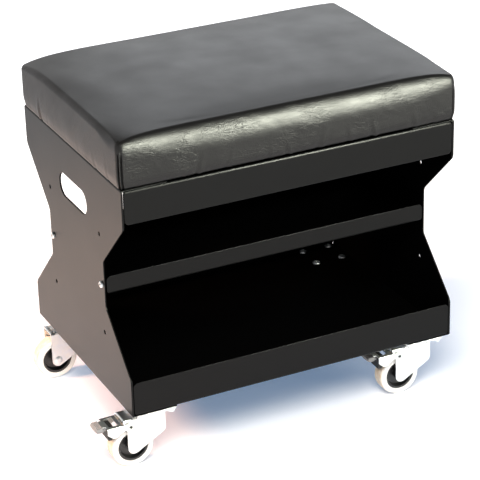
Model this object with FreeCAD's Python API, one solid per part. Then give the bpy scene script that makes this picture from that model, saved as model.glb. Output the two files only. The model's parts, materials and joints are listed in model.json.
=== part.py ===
import FreeCAD
import Part
import math
import os

# Creeper seat: an hourglass sheet-steel body with two open compartments,
# an upholstered seat and four swivel casters, the front two with brakes.
# Millimetres. +X right, +Y to the back, +Z up, origin on the floor under the middle of the body.

V = FreeCAD.Vector

# Body
body_width = 400.0
body_depth = 280.0
body_height = 270.0
sheet = 2.0
bend_outer = 3.0
bend_inner = bend_outer - sheet
fold_gap = 1.0
cut_overrun = 5.0
touching = 1e-6

# Side panel outline
end_rise = 46.0
slope_rise = 61.0
waist_inset = 61.5
outline_round = 10.0
end_corner_round = 3.5
flange_width = 55.0
flange_corner_round = 6.0

# Side panel holes
slot_length = 80.0
slot_height = 28.5
slot_drop = 57.0
accessory_hole_d = 5.2
accessory_inset = 6.5
accessory_pitch_z = 119.0
accessory_mid_z = 134.0

# Folded cross pieces
apron_height = 38.5
shelf_bottom = 122.5
shelf_lip = 21.0
tray_lip = 39.5
lip_corner_round = 5.0
shelf_corner_gap = 0.3

# Seat
cushion_overhang = 1.0
cushion_height = 58.0
cushion_gap = 0.3
cover_hem = 1.0
hem_width = 30.0
cover_side = 4.7
board_thick = 12.0
board_corner_round = 8.0
foam_height = 36.0
foam_corner_round = 16.0
foam_edge_round = 12.0
padding_gap = 0.3

# Crown and drawn-in sides of the seat cover, from the underside up:
# share of the height, share of the half depth drawn in, share of the half depth as corner radius
cover_section_shares = (
    (0.0, 0.021, 0.07),
    (0.05, 0.004, 0.082),
    (0.3, 0.0, 0.086),
    (0.62, 0.006, 0.09),
    (0.73, 0.014, 0.098),
    (0.82, 0.036, 0.115),
    (0.885, 0.078, 0.145),
    (0.925, 0.145, 0.19),
    (0.955, 0.26, 0.27),
    (0.98, 0.42, 0.36),
    (0.995, 0.62, 0.3),
    (1.0, 0.8, 0.15),
)

# Screws, bolts and nuts
bolt_d = 5.0
hole_clearance = 0.2
thread_clearance = 0.08
bolt_head_d = 9.5
bolt_head_height = 2.8
nut_flats = 8.0
nut_height = 4.0
bolt_end = 1.0
seat_screw_inset_x = 42.0
seat_screw_inset_y = 40.0
seat_screw_bite = 9.0
pilot_extra = 1.0
shelf_screw_inset = 7.0
shelf_screw_d = 4.0
shelf_head_d = 8.0
shelf_head_height = 2.5
shelf_nut_flats = 7.0
shelf_nut_height = 3.2

# Caster place and mounting plate
caster_height = 70.0
swivel_room = 20.0
caster_inset_x = 31.0
caster_inset_y = 26.0
plate_size = 48.0
plate_thick = 2.5
plate_corner_round = 5.0
plate_bolt_pitch = 36.0

# Swivel head
race_radius = 16.5
race_depth = 2.0
race_gap = 2.0
ball_d = 4.0
ball_count = 8
ball_track_radius = 12.5
ball_clearance = 0.1
kingpin_d = 8.0
kingpin_head_radius = 7.0
kingpin_head_height = 2.0
kingpin_recess = 2.2
swivel_clearance = 0.08
swivel_end_play = 0.2

# Fork
fork_sheet = 2.0
fork_inner_width = 21.0
fork_front = 13.0
fork_front_drop = 32.0
fork_front_round = 6.0
fork_boss_radius = 7.5
crown_radius = 17.5
ear_reach = 8.0
ear_drop = 12.0
ear_round = 2.0

# Wheel
tyre_width = 18.0
tyre_shoulder = 3.0
tyre_thick = 7.0
tyre_fit = 0.1
hub_width = 16.0
hub_rim = 2.5
hub_web = 5.0
hub_boss_radius = 6.5
hub_end_play = 0.5
hub_slope = 1.5
bushing_d = 8.0
bushing_clearance = 0.06
bushing_end_play = 0.1
axle_d = 6.0
axle_clearance = 0.1
axle_head_radius = 5.0
axle_head_height = 1.2

# Brake pedal
pedal_sheet = 1.5
pedal_side_gap = 0.3
pedal_top_drop = 13.0
pedal_bend_outer = 2.5
pedal_overhang = 6.0
pedal_end_height = 8.0
pedal_side_height = 13.0
pedal_foot = 6.0
pedal_tyre_gap = 2.5
pedal_ear_radius = 6.0
pedal_web_gap = 1.5
window_end = 3.0
window_length = 11.0
window_rail = 3.0
window_round = 1.5
tongue_length = 9.0
tongue_half_width = 7.0
pivot_behind_axle = 4.0
pivot_above_tyre = 2.8
pivot_d = 4.8
pivot_bore_d = 3.8
pivot_head_radius = 3.2
pivot_head_height = 0.6
pivot_clearance = 0.06
pivot_end_play = 0.1
brake_angle = 7.0
shoe_width = 16.0
shoe_gap = 0.4
shoe_inset = 1.0
shoe_length = 8.0
shoe_height = 16.5
shoe_lean = 1.0
shoe_toe = 5.0
shoe_round = 1.2
tip_length = 12.0
tip_width = 20.0
tip_height = 7.0
tip_rise = 1.0
tip_round = 3.0
tip_fit = 0.2

# Derived places
base_z = caster_height
top_z = base_z + body_height
inside_half = body_width / 2 - sheet
cross_half = inside_half - fold_gap
half_depth = body_depth / 2
waist_half = half_depth - waist_inset
accessory_y = waist_half - accessory_inset
cushion_width = body_width + 2 * cushion_overhang
cushion_depth = body_depth
tray_z = base_z + sheet
shelf_z = base_z + shelf_bottom
plate_z = top_z - sheet
cushion_z = top_z + cushion_gap
board_z = cushion_z + cover_hem + padding_gap
swivel_x = body_width / 2 - caster_inset_x
swivel_y = half_depth - caster_inset_y
wheel_d = caster_height - swivel_room
wheel_r = wheel_d / 2
trail = wheel_r
plate_under = caster_height - plate_thick
boss_under = plate_under - race_depth
ring_top = boss_under - race_gap
crown_top = ring_top - race_depth
crown_under = crown_top - fork_sheet
ball_z = boss_under - race_gap / 2
fork_inner = fork_inner_width / 2
fork_outer = fork_inner + fork_sheet
pivot_x = -trail - pivot_behind_axle
pivot_z = wheel_d + pivot_above_tyre
pedal_inner = fork_outer + pedal_side_gap
pedal_outer = pedal_inner + pedal_sheet
pedal_top = caster_height - pedal_top_drop
pedal_end_x = -trail - wheel_r - pedal_overhang
pedal_web_x = pivot_x - ear_reach - pedal_web_gap

casters = (
    ("front_left", -1, -1, True),
    ("front_right", 1, -1, True),
    ("rear_left", -1, 1, False),
    ("rear_right", 1, 1, False),
)


def rounded_wire(points, radii, to_space):
    """Closed wire through 2D points, each corner rounded by its own radius."""
    count = len(points)
    arcs = []
    for i in range(count):
        p = V(points[i][0], points[i][1], 0)
        back = V(points[i - 1][0], points[i - 1][1], 0) - p
        ahead = V(points[(i + 1) % count][0], points[(i + 1) % count][1], 0) - p
        back.normalize()
        ahead.normalize()
        if radii[i] == 0:
            arcs.append((p, None, p))
            continue
        half = back.getAngle(ahead) / 2
        reach = radii[i] / math.tan(half)
        middle = back + ahead
        middle.normalize()
        centre = p + middle * (radii[i] / math.sin(half))
        arcs.append((p + back * reach, centre - middle * radii[i], p + ahead * reach))
    edges = []
    for i in range(count):
        start, mid, end = arcs[i]
        if mid is not None:
            arc = Part.Arc(to_space(start), to_space(mid), to_space(end))
            edges.append(arc.toShape())
        following = arcs[(i + 1) % count][0]
        if (following - end).Length > touching:
            edges.append(Part.makeLine(to_space(end), to_space(following)))
    return Part.Wire(edges)


def prism_x(points, radii, x0, x1):
    """Outline in Y and Z, extruded along X."""
    wire = rounded_wire(points, radii, lambda p: V(x0, p.x, p.y))
    return Part.Face(wire).extrude(V(x1 - x0, 0, 0))


def prism_y(points, radii, y0, y1):
    """Outline in X and Z, extruded along Y."""
    wire = rounded_wire(points, radii, lambda p: V(p.x, y0, p.y))
    return Part.Face(wire).extrude(V(0, y1 - y0, 0))


def prism_z(points, radii, z0, z1):
    """Outline in X and Y, extruded along Z."""
    wire = rounded_wire(points, radii, lambda p: V(p.x, p.y, z0))
    return Part.Face(wire).extrude(V(0, 0, z1 - z0))


def rectangle(u0, u1, v0, v1):
    return [(u0, v0), (u1, v0), (u1, v1), (u0, v1)]


def box(x0, x1, y0, y1, z0, z1):
    return Part.makeBox(x1 - x0, y1 - y0, z1 - z0, V(x0, y0, z0))


def cylinder(radius, start, end):
    along = end - start
    return Part.makeCylinder(radius, along.Length, start, along)


def turned(points, radii, base, axis):
    """Profile of radius and height, turned about the height axis and laid along axis at base."""
    wire = rounded_wire(points, radii, lambda p: V(p.x, 0, p.y))
    solid = Part.Face(wire).revolve(V(0, 0, 0), V(0, 0, 1), 360)
    solid.Placement = FreeCAD.Placement(base, FreeCAD.Rotation(V(0, 0, 1), axis))
    return solid


def moved(shape, x, y, z=0):
    copy = shape.copy()
    copy.translate(V(x, y, z))
    return copy


def mirrored_x(shape):
    return shape.mirror(V(0, 0, 0), V(1, 0, 0))


def four_corners(half_x, half_y):
    return [(sx * half_x, sy * half_y) for sx in (-1, 1) for sy in (-1, 1)]


def save(name, *solids):
    shape = solids[0] if len(solids) == 1 else Part.makeCompound(list(solids))
    if not shape.isValid():
        raise ValueError(name + " is not a valid shape")
    shape.exportStep("parts/" + name + ".step")


# Fasteners

def domed_screw(shank_d, head_d, head_height, base, axis, length):
    """Button-head screw: base is the seat of its head, the shank runs along axis."""
    shank = shank_d / 2
    points = [
        (0, -head_height), (head_d / 4, -head_height), (head_d / 2, 0),
        (shank, 0), (shank, length), (0, length),
    ]
    rounds = [0, head_d / 8, 0, 0, 0, 0]
    return turned(points, rounds, base, axis)


def body_bolt(base, axis, length):
    return domed_screw(bolt_d, bolt_head_d, bolt_head_height, base, axis, length)


def hex_nut(bore_d, flats, height, base, axis):
    """Hexagon nut with a clear bore, base is its bearing face."""
    corner = flats / math.sqrt(3)
    points = [(corner * math.cos(i * math.pi / 3), corner * math.sin(i * math.pi / 3)) for i in range(6)]
    nut = prism_z(points, [0] * 6, 0, height)
    bore = bore_d / 2 + thread_clearance
    nut = nut.cut(cylinder(bore, V(0, 0, -cut_overrun), V(0, 0, height + cut_overrun)))
    nut.Placement = FreeCAD.Placement(base, FreeCAD.Rotation(V(0, 0, 1), axis))
    return nut


def drill_z(shape, places, diameter, z0, z1):
    for x, y in places:
        shape = shape.cut(cylinder(diameter / 2, V(x, y, z0 - cut_overrun), V(x, y, z1 + cut_overrun)))
    return shape


clear_hole_d = bolt_d + 2 * hole_clearance
shelf_hole_r = shelf_screw_d / 2 + hole_clearance
seat_screw_places = four_corners(body_width / 2 - seat_screw_inset_x, half_depth - seat_screw_inset_y)
plate_bolt_places = four_corners(plate_bolt_pitch / 2, plate_bolt_pitch / 2)
caster_bolt_places = [
    (sx * swivel_x + bx, sy * swivel_y + by)
    for name, sx, sy, brake in casters for bx, by in plate_bolt_places
]
shelf_screw_places = [sy * (waist_half - shelf_screw_inset) for sy in (-1, 1)]
shelf_screw_z = shelf_z + shelf_lip / 2


# Sheet body

def hourglass():
    """Front half of the side outline from the bottom up, then its mirror image at the back."""
    low = end_rise
    high = end_rise + slope_rise
    front = [
        (-half_depth, 0), (-half_depth, low), (-waist_half, high),
        (-waist_half, body_height - high), (-half_depth, body_height - low), (-half_depth, body_height),
    ]
    points = front + [(-y, z) for y, z in reversed(front)]
    rounds = [end_corner_round] + [outline_round] * 4 + [end_corner_round]
    return [(y, base_z + z) for y, z in points], rounds + rounds


def right_side_panel():
    """One sheet with the hourglass web and a flange folded inwards at the top and the bottom."""
    outer = body_width / 2
    free_edge = outer - flange_width
    channel = [
        (outer, base_z), (outer, top_z), (free_edge, top_z), (free_edge, top_z - sheet),
        (inside_half, top_z - sheet), (inside_half, tray_z), (free_edge, tray_z), (free_edge, base_z),
    ]
    bends = [bend_outer, bend_outer, 0, 0, bend_inner, bend_inner, 0, 0]
    panel = prism_y(channel, bends, -half_depth, half_depth)
    outline, rounds = hourglass()
    panel = panel.common(prism_x(outline, rounds, free_edge - cut_overrun, outer + cut_overrun))
    plan = rectangle(free_edge, outer + cut_overrun, -half_depth, half_depth)
    plan_rounds = [flange_corner_round, 0, 0, flange_corner_round]
    panel = panel.common(prism_z(plan, plan_rounds, base_z - cut_overrun, top_z + cut_overrun))
    inner_x = inside_half - cut_overrun
    outer_x = outer + cut_overrun
    slot_z = top_z - slot_drop
    end_radius = slot_height / 2
    straight = slot_length / 2 - end_radius
    panel = panel.cut(box(inner_x, outer_x, -straight, straight, slot_z - end_radius, slot_z + end_radius))
    for y in (-straight, straight):
        panel = panel.cut(cylinder(end_radius, V(inner_x, y, slot_z), V(outer_x, y, slot_z)))
    for y, z in four_corners(accessory_y, accessory_pitch_z / 2):
        centre_z = base_z + accessory_mid_z + z
        panel = panel.cut(cylinder(accessory_hole_d / 2, V(inner_x, y, centre_z), V(outer_x, y, centre_z)))
    for y in shelf_screw_places:
        ends = V(inner_x, y, shelf_screw_z), V(outer_x, y, shelf_screw_z)
        panel = panel.cut(cylinder(shelf_hole_r, *ends))
    panel = drill_z(panel, [p for p in caster_bolt_places if p[0] > 0], clear_hole_d, base_z, tray_z)
    return drill_z(panel, [p for p in seat_screw_places if p[0] > 0], clear_hole_d, plate_z, top_z)


def folded_channel(depth, z_floor, z_edge, corner_round):
    """Sheet along X with its front and back edges folded to z_edge, up or down, from z_floor."""
    half = depth / 2
    inside = half - sheet
    inner_z = z_floor + math.copysign(sheet, z_edge - z_floor)
    profile = [
        (-half, z_floor), (half, z_floor), (half, z_edge), (inside, z_edge),
        (inside, inner_z), (-inside, inner_z), (-inside, z_edge), (-half, z_edge),
    ]
    bends = [bend_outer, bend_outer, 0, 0, bend_inner, bend_inner, 0, 0]
    channel = prism_x(profile, bends, -cross_half, cross_half)
    low, high = sorted((z_floor, z_edge))
    lips = prism_y(rectangle(-cross_half, cross_half, low, high), [corner_round] * 4, -half, half)
    flat = half - bend_outer
    return channel.common(lips.fuse(box(-cross_half, cross_half, -flat, flat, low, high)))


def top_plate():
    """Plate under the top flanges, with an apron folded down at the front and at the back."""
    plate = folded_channel(body_depth, plate_z, plate_z - apron_height, lip_corner_round)
    return drill_z(plate, seat_screw_places, clear_hole_d, plate_z - sheet, plate_z)


def bottom_tray():
    """Tray on the bottom flanges, with a lip folded up at the front and at the back."""
    tray = folded_channel(body_depth, tray_z, tray_z + tray_lip, lip_corner_round)
    return drill_z(tray, caster_bolt_places, clear_hole_d, tray_z, tray_z + sheet)


def middle_shelf():
    """Shelf at the waist with four lips folded up, the end ones screwed to the side panels."""
    shelf = folded_channel(2 * waist_half, shelf_z, shelf_z + shelf_lip, lip_corner_round)
    end_half = waist_half - sheet - shelf_corner_gap
    floor_end = cross_half - bend_outer
    inner_x = inside_half - sheet
    inner_z = shelf_z + sheet
    top = shelf_z + shelf_lip
    profile = [
        (floor_end, shelf_z), (inside_half, shelf_z), (inside_half, top),
        (inner_x, top), (inner_x, inner_z), (floor_end, inner_z),
    ]
    end = prism_y(profile, [0, bend_outer, 0, 0, bend_inner, 0], -end_half, end_half)
    lip = rectangle(-end_half, end_half, shelf_z, top)
    end = end.common(prism_x(lip, [0, 0, lip_corner_round, lip_corner_round], 0, body_width))
    for y in shelf_screw_places:
        ends = V(floor_end, y, shelf_screw_z), V(body_width, y, shelf_screw_z)
        end = end.cut(cylinder(shelf_hole_r, *ends))
    return shelf.fuse([end, mirrored_x(end)]).removeSplitter()


def save_body():
    right = right_side_panel()
    save("right_side_panel", right)
    save("left_side_panel", mirrored_x(right))
    save("top_plate", top_plate())
    save("middle_shelf", middle_shelf())
    save("bottom_tray", bottom_tray())


# Seat

def cushion_plan(inset, corner_round, z0, z1):
    """Block with the cushion's plan, drawn in by inset on every side."""
    half_x = cushion_width / 2 - inset
    half_y = cushion_depth / 2 - inset
    return prism_z(rectangle(-half_x, half_x, -half_y, half_y), [corner_round] * 4, z0, z1)


def foam_block(gap):
    """Foam with rounded upper edges, grown by gap on the outside."""
    z0 = board_z + board_thick
    z1 = z0 + foam_height + gap
    block = cushion_plan(cover_side + padding_gap - gap, foam_corner_round + gap, z0, z1)
    upper = [edge for edge in block.Edges if edge.BoundBox.ZMin > z0 + foam_height / 2]
    return block.makeFillet(foam_edge_round + gap, upper)


def seat_board():
    """Plywood board with a pilot hole for each seat screw."""
    inset = cover_side + padding_gap
    board = cushion_plan(inset, board_corner_round, board_z, board_z + board_thick)
    mouth = board_z - cut_overrun
    bottom = board_z + seat_screw_bite + pilot_extra
    for x, y in seat_screw_places:
        board = board.cut(cylinder(bolt_d / 2 + thread_clearance, V(x, y, mouth), V(x, y, bottom)))
    return board


def seat_cover():
    """Padded cover with crowned top and drawn-in sides, wrapped round the foam and under the board."""
    sections = []
    for height_share, inset_share, round_share in cover_section_shares:
        inset = inset_share * cushion_depth / 2
        half_x = cushion_width / 2 - inset
        half_y = cushion_depth / 2 - inset
        z = cushion_z + height_share * cushion_height
        corner = round_share * cushion_depth / 2
        outline = rectangle(-half_x, half_x, -half_y, half_y)
        sections.append(rounded_wire(outline, [corner] * 4, lambda p, z=z: V(p.x, p.y, z)))
    cover = Part.makeLoft(sections, True, True)
    pocket_top = board_z + board_thick
    pocket = cushion_plan(cover_side, board_corner_round + padding_gap, cushion_z + cover_hem, pocket_top)
    opening = cushion_plan(hem_width, board_corner_round, cushion_z - cut_overrun, cushion_z + cover_hem)
    return cover.cut(pocket.fuse([foam_block(padding_gap), opening]))


def save_seat():
    save("seat_board", seat_board())
    save("seat_foam", foam_block(0))
    save("seat_cover", seat_cover())


# Fasteners of the body

def seat_screw(x, y):
    length = 2 * sheet + board_z - top_z + seat_screw_bite
    return body_bolt(V(x, y, plate_z - sheet), V(0, 0, 1), length)


def shelf_screw(side, y):
    length = 2 * sheet + shelf_nut_height + bolt_end
    base = V(side * body_width / 2, y, shelf_screw_z)
    return domed_screw(shelf_screw_d, shelf_head_d, shelf_head_height, base, V(-side, 0, 0), length)


def shelf_nut(side, y):
    base = V(side * (inside_half - sheet), y, shelf_screw_z)
    return hex_nut(shelf_screw_d, shelf_nut_flats, shelf_nut_height, base, V(-side, 0, 0))


def caster_bolt(x, y):
    length = 2 * sheet + plate_thick + nut_height + bolt_end
    return body_bolt(V(x, y, tray_z + sheet), V(0, 0, -1), length)


def caster_nut(x, y):
    return hex_nut(bolt_d, nut_flats, nut_height, V(x, y, plate_under), V(0, 0, -1))


def save_fasteners():
    shelf_places = [(side, y) for side in (-1, 1) for y in shelf_screw_places]
    save("seat_screws", *[seat_screw(x, y) for x, y in seat_screw_places])
    save("shelf_screws", *[shelf_screw(side, y) for side, y in shelf_places])
    save("shelf_nuts", *[shelf_nut(side, y) for side, y in shelf_places])
    save("caster_bolts", *[caster_bolt(x, y) for x, y in caster_bolt_places])
    save("caster_nuts", *[caster_nut(x, y) for x, y in caster_bolt_places])


# Swivel head of one caster, its swivel axis at x = y = 0

def ball_groove():
    return Part.makeTorus(ball_track_radius, ball_d / 2 + ball_clearance, V(0, 0, ball_z), V(0, 0, 1))


def kingpin_hole(z0, z1):
    return cylinder(kingpin_d / 2 + swivel_clearance, V(0, 0, z0 - cut_overrun), V(0, 0, z1 + cut_overrun))


def caster_plate():
    """Mounting plate with the upper ball track below and a recess for the kingpin's head on top."""
    half = plate_size / 2
    outline = rectangle(-half, half, -half, half)
    plate = prism_z(outline, [plate_corner_round] * 4, plate_under, caster_height)
    plate = plate.fuse(cylinder(race_radius, V(0, 0, boss_under), V(0, 0, plate_under)))
    recess_floor = V(0, 0, caster_height - kingpin_recess)
    plate = plate.cut(cylinder(kingpin_head_radius + hole_clearance, recess_floor, V(0, 0, caster_height)))
    plate = plate.cut(kingpin_hole(boss_under, caster_height)).cut(ball_groove())
    return drill_z(plate, plate_bolt_places, clear_hole_d, plate_under, caster_height)


def kingpin():
    """Swivel rivet from the plate's recess to a head below the fork's crown."""
    top = caster_height - kingpin_recess
    foot = crown_under - swivel_end_play
    shank = kingpin_d / 2
    points = [
        (0, foot - kingpin_head_height), (kingpin_head_radius, foot - kingpin_head_height),
        (kingpin_head_radius, foot), (shank, foot), (shank, top), (kingpin_head_radius, top),
        (kingpin_head_radius, top + kingpin_head_height), (0, top + kingpin_head_height),
    ]
    rounds = [0, kingpin_head_height / 2, 0, 0, 0, 0, kingpin_head_height / 2, 0]
    return turned(points, rounds, V(0, 0, 0), V(0, 0, 1))


def swivel_balls():
    balls = []
    for name, sx, sy, brake in casters:
        for i in range(ball_count):
            angle = 2 * math.pi * i / ball_count
            centre = V(ball_track_radius * math.cos(angle), ball_track_radius * math.sin(angle), ball_z)
            balls.append(moved(Part.makeSphere(ball_d / 2, centre), sx * swivel_x, sy * swivel_y))
    return balls


def cheek_outline(brake):
    """Side view of the fork: front edge, slope down to the axle boss, upright rear edge."""
    back = -trail - fork_boss_radius
    low_z = caster_height - fork_front_drop
    run = fork_front + trail
    rise = low_z - wheel_r
    slope = math.atan2(rise, run) + math.asin(fork_boss_radius / math.hypot(rise, run))
    heel_z = low_z + (back - fork_front) * math.tan(slope)
    points = [(fork_front, crown_top), (fork_front, low_z), (back, heel_z)]
    rounds = [0, fork_front_round, fork_boss_radius]
    if brake:
        ear_x = pivot_x - ear_reach
        ear_z = crown_top - ear_drop
        points += [(back, ear_z), (ear_x, ear_z), (ear_x, crown_top)]
        rounds += [ear_round, ear_round, ear_round]
    else:
        points.append((back, crown_top))
        rounds.append(ear_round)
    return points, rounds


def arch(inner, outer, top, thick, bend, x0, x1):
    """Sheet bent into an upside-down U along X, open towards the floor."""
    profile = [
        (-outer, 0), (-outer, top), (outer, top), (outer, 0),
        (inner, 0), (inner, top - thick), (-inner, top - thick), (-inner, 0),
    ]
    return prism_x(profile, [0, bend, bend, 0, 0, bend - thick, bend - thick, 0], x0, x1)


def fork(brake):
    """Crown with the lower ball track, and two cheeks that hold the axle and the pedal's pivot."""
    points, rounds = cheek_outline(brake)
    reach = fork_outer + cut_overrun
    body = arch(fork_inner, fork_outer, crown_top, fork_sheet, bend_outer, -trail - wheel_r, fork_front)
    body = body.common(prism_y(points, rounds, -reach, reach))
    body = body.fuse([
        cylinder(crown_radius, V(0, 0, crown_under), V(0, 0, crown_top)),
        cylinder(race_radius, V(0, 0, crown_top), V(0, 0, ring_top)),
    ])
    body = body.cut(kingpin_hole(crown_under, ring_top)).cut(ball_groove())
    holes = [(-trail, wheel_r, axle_d / 2 + axle_clearance)]
    if brake:
        holes.append((pivot_x, pivot_z, pivot_d / 2 + pivot_clearance))
    for x, z, radius in holes:
        body = body.cut(cylinder(radius, V(x, -reach, z), V(x, reach, z)))
    return body


# Wheel of one caster

def tyre():
    half = tyre_width / 2
    bore = wheel_r - tyre_thick + tyre_fit
    points = [(bore, -half), (wheel_r, -half), (wheel_r, half), (bore, half)]
    return turned(points, [0, tyre_shoulder, tyre_shoulder, 0], V(-trail, 0, wheel_r), V(0, 1, 0))


def wheel_hub():
    """Plastic core: rim under the tyre, recessed web and a boss on the bushing."""
    bore = bushing_d / 2 + bushing_clearance
    rim = wheel_r - tyre_thick
    end = fork_inner - hub_end_play
    side = hub_width / 2
    web = hub_web / 2
    rim_inner = rim - hub_rim
    half = [
        (bore, end), (hub_boss_radius, end), (hub_boss_radius, web),
        (rim_inner - hub_slope, web), (rim_inner, side), (rim, side),
    ]
    points = half + [(r, -y) for r, y in reversed(half)]
    return turned(points, [0] * len(points), V(-trail, 0, wheel_r), V(0, 1, 0))


def wheel_bushing():
    """Steel spacer clamped between the cheeks, on which the hub turns."""
    half = fork_inner - bushing_end_play
    bore = axle_d / 2 + axle_clearance
    points = rectangle(bore, bushing_d / 2, -half, half)
    return turned(points, [0] * 4, V(-trail, 0, wheel_r), V(0, 1, 0))


def axle():
    """Rivet with a domed head on each cheek."""
    shank = axle_d / 2
    half = [
        (0, fork_outer + axle_head_height), (axle_head_radius / 2, fork_outer + axle_head_height),
        (axle_head_radius, fork_outer), (shank, fork_outer),
    ]
    points = half + [(r, -y) for r, y in reversed(half)]
    dome = axle_head_radius / 4
    return turned(points, [0, dome, 0, 0, 0, 0, dome, 0], V(-trail, 0, wheel_r), V(0, 1, 0))


# Brake of one front caster, pedal up

def brake_pedal():
    """Bent-sheet lever astride the fork, with a window in its top and a tongue for the tip."""
    foot_z = pedal_top - pedal_side_height
    side = [
        (pivot_x, pedal_top), (pedal_end_x, pedal_top), (pedal_end_x, pedal_top - pedal_end_height),
        (pedal_end_x + pedal_foot, foot_z), (pivot_x, foot_z),
    ]
    reach = pedal_outer + cut_overrun
    lever = arch(pedal_inner, pedal_outer, pedal_top, pedal_sheet, pedal_bend_outer, pedal_end_x, pivot_x)
    lever = lever.common(prism_y(side, [0] * 5, -reach, reach))
    hollow = wheel_r + pedal_tyre_gap
    lever = lever.cut(cylinder(hollow, V(-trail, -reach, wheel_r), V(-trail, reach, wheel_r)))
    lever = lever.cut(box(pedal_web_x, pivot_x + cut_overrun, -pedal_inner, pedal_inner, foot_z, pedal_top))
    for y0, y1 in ((-pedal_outer, -pedal_inner), (pedal_inner, pedal_outer)):
        lever = lever.fuse(cylinder(pedal_ear_radius, V(pivot_x, y0, pivot_z), V(pivot_x, y1, pivot_z)))
    lever = lever.fuse(box(pedal_end_x - tongue_length, pedal_end_x, -tongue_half_width, tongue_half_width,
                           pedal_top - pedal_sheet, pedal_top))
    window_x = pedal_end_x + window_end
    window_half = pedal_inner - window_rail
    window = rectangle(window_x, window_x + window_length, -window_half, window_half)
    lever = lever.cut(prism_z(window, [window_round] * 4, foot_z, pedal_top + cut_overrun))
    hole = pivot_d / 2 + pivot_clearance
    lever = lever.cut(cylinder(hole, V(pivot_x, -reach, pivot_z), V(pivot_x, reach, pivot_z)))
    return lever.removeSplitter()


def pedal_pin():
    """Hollow rivet through both cheeks and the pedal's ears."""
    shank = pivot_d / 2
    seat = pedal_outer + pivot_end_play
    end = seat + pivot_head_height
    bore = pivot_bore_d / 2
    half = [(bore, end), (pivot_head_radius, end), (pivot_head_radius, seat), (shank, seat)]
    points = half + [(r, -y) for r, y in reversed(half)]
    return turned(points, [0] * len(points), V(pivot_x, 0, pivot_z), V(0, 1, 0))


def brake_shoe():
    """Pad under the pedal, hollowed to clear the tyre by shoe_gap once the pedal is down."""
    x0 = pedal_end_x + shoe_inset
    top = pedal_top - pedal_sheet
    foot = top - shoe_height
    side = [
        (x0, top), (x0 + shoe_lean, foot), (x0 + shoe_length + shoe_toe, foot), (x0 + shoe_length, top),
    ]
    pad = prism_y(side, [0, shoe_round, 0, 0], -shoe_width / 2, shoe_width / 2)
    wheel = cylinder(wheel_r + shoe_gap, V(-trail, -shoe_width, wheel_r), V(-trail, shoe_width, wheel_r))
    wheel.rotate(V(pivot_x, 0, pivot_z), V(0, -1, 0), -brake_angle)
    return pad.cut(wheel)


def pedal_tip():
    """Moulded tip pushed on the pedal's tongue."""
    x0 = pedal_end_x - tip_length
    top = pedal_top + tip_rise
    foot = top - tip_height
    half = tip_width / 2
    rounds = [tip_round, 0, 0, tip_round]
    tip = prism_y(rectangle(x0, pedal_end_x, foot, top), rounds, -half, half)
    tip = tip.common(prism_z(rectangle(x0, pedal_end_x, -half, half), rounds, foot, top))
    pocket_x = pedal_end_x - tongue_length - tip_fit
    pocket_half = tongue_half_width + tip_fit
    pocket_z = pedal_top - pedal_sheet - tip_fit
    mouth = pedal_end_x + cut_overrun
    return tip.cut(box(pocket_x, mouth, -pocket_half, pocket_half, pocket_z, pedal_top + tip_fit))


def save_casters():
    save("swivel_balls", *swivel_balls())
    shared = {
        "caster_plate": caster_plate(),
        "kingpin": kingpin(),
        "wheel_bushing": wheel_bushing(),
        "axle": axle(),
        "wheel_hub": wheel_hub(),
        "tyre": tyre(),
    }
    braked = {
        "fork": fork(True),
        "brake_pedal": brake_pedal(),
        "pedal_pin": pedal_pin(),
        "brake_shoe": brake_shoe(),
        "pedal_tip": pedal_tip(),
    }
    plain = {"fork": fork(False)}
    for name, sx, sy, brake in casters:
        pieces = dict(shared, **(braked if brake else plain))
        for piece, shape in pieces.items():
            save(name + "_" + piece, moved(shape, sx * swivel_x, sy * swivel_y))


os.makedirs("parts", exist_ok=True)
save_body()
save_seat()
save_fasteners()
save_casters()
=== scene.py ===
"""Creeper seat dressed for the studio: upholstery, finishes, fasteners, light and camera."""
import json
import math
import random

import bpy
import numpy as np
from bpy.props import FloatProperty, FloatVectorProperty, IntProperty, PointerProperty
from bpy.types import Operator, Panel, PropertyGroup
from mathutils import Matrix, Vector
from mathutils.bvhtree import BVHTree
from mathutils.interpolate import poly_3d_calc

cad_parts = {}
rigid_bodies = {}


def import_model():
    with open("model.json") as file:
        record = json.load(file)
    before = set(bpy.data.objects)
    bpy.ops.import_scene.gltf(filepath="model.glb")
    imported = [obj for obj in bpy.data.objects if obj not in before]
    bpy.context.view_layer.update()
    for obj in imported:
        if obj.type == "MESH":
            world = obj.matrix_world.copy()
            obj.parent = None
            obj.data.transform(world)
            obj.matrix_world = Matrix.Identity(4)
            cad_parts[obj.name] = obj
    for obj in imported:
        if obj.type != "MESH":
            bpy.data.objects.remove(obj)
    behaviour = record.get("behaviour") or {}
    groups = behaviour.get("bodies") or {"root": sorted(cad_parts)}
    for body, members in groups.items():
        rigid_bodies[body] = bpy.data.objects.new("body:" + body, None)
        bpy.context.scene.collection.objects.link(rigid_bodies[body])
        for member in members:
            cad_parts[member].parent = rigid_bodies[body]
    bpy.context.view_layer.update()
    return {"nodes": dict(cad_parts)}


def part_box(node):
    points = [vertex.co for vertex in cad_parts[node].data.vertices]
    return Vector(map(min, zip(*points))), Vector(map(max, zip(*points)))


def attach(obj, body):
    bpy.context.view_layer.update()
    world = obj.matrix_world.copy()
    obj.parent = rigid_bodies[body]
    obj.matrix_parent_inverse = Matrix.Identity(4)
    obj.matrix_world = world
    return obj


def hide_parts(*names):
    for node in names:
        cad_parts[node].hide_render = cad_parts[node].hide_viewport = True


bl_info = {
    "name": "Creeper Seat Dressing",
    "version": (1, 0, 0),
    "blender": (4, 5, 0),
    "location": "View3D > Sidebar > Creeper Seat",
    "description": "Upholsters and finishes a creeper seat and sets up its studio",
    "category": "Object",
}

for leftover in list(bpy.data.objects):
    bpy.data.objects.remove(leftover)
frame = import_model()

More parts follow.
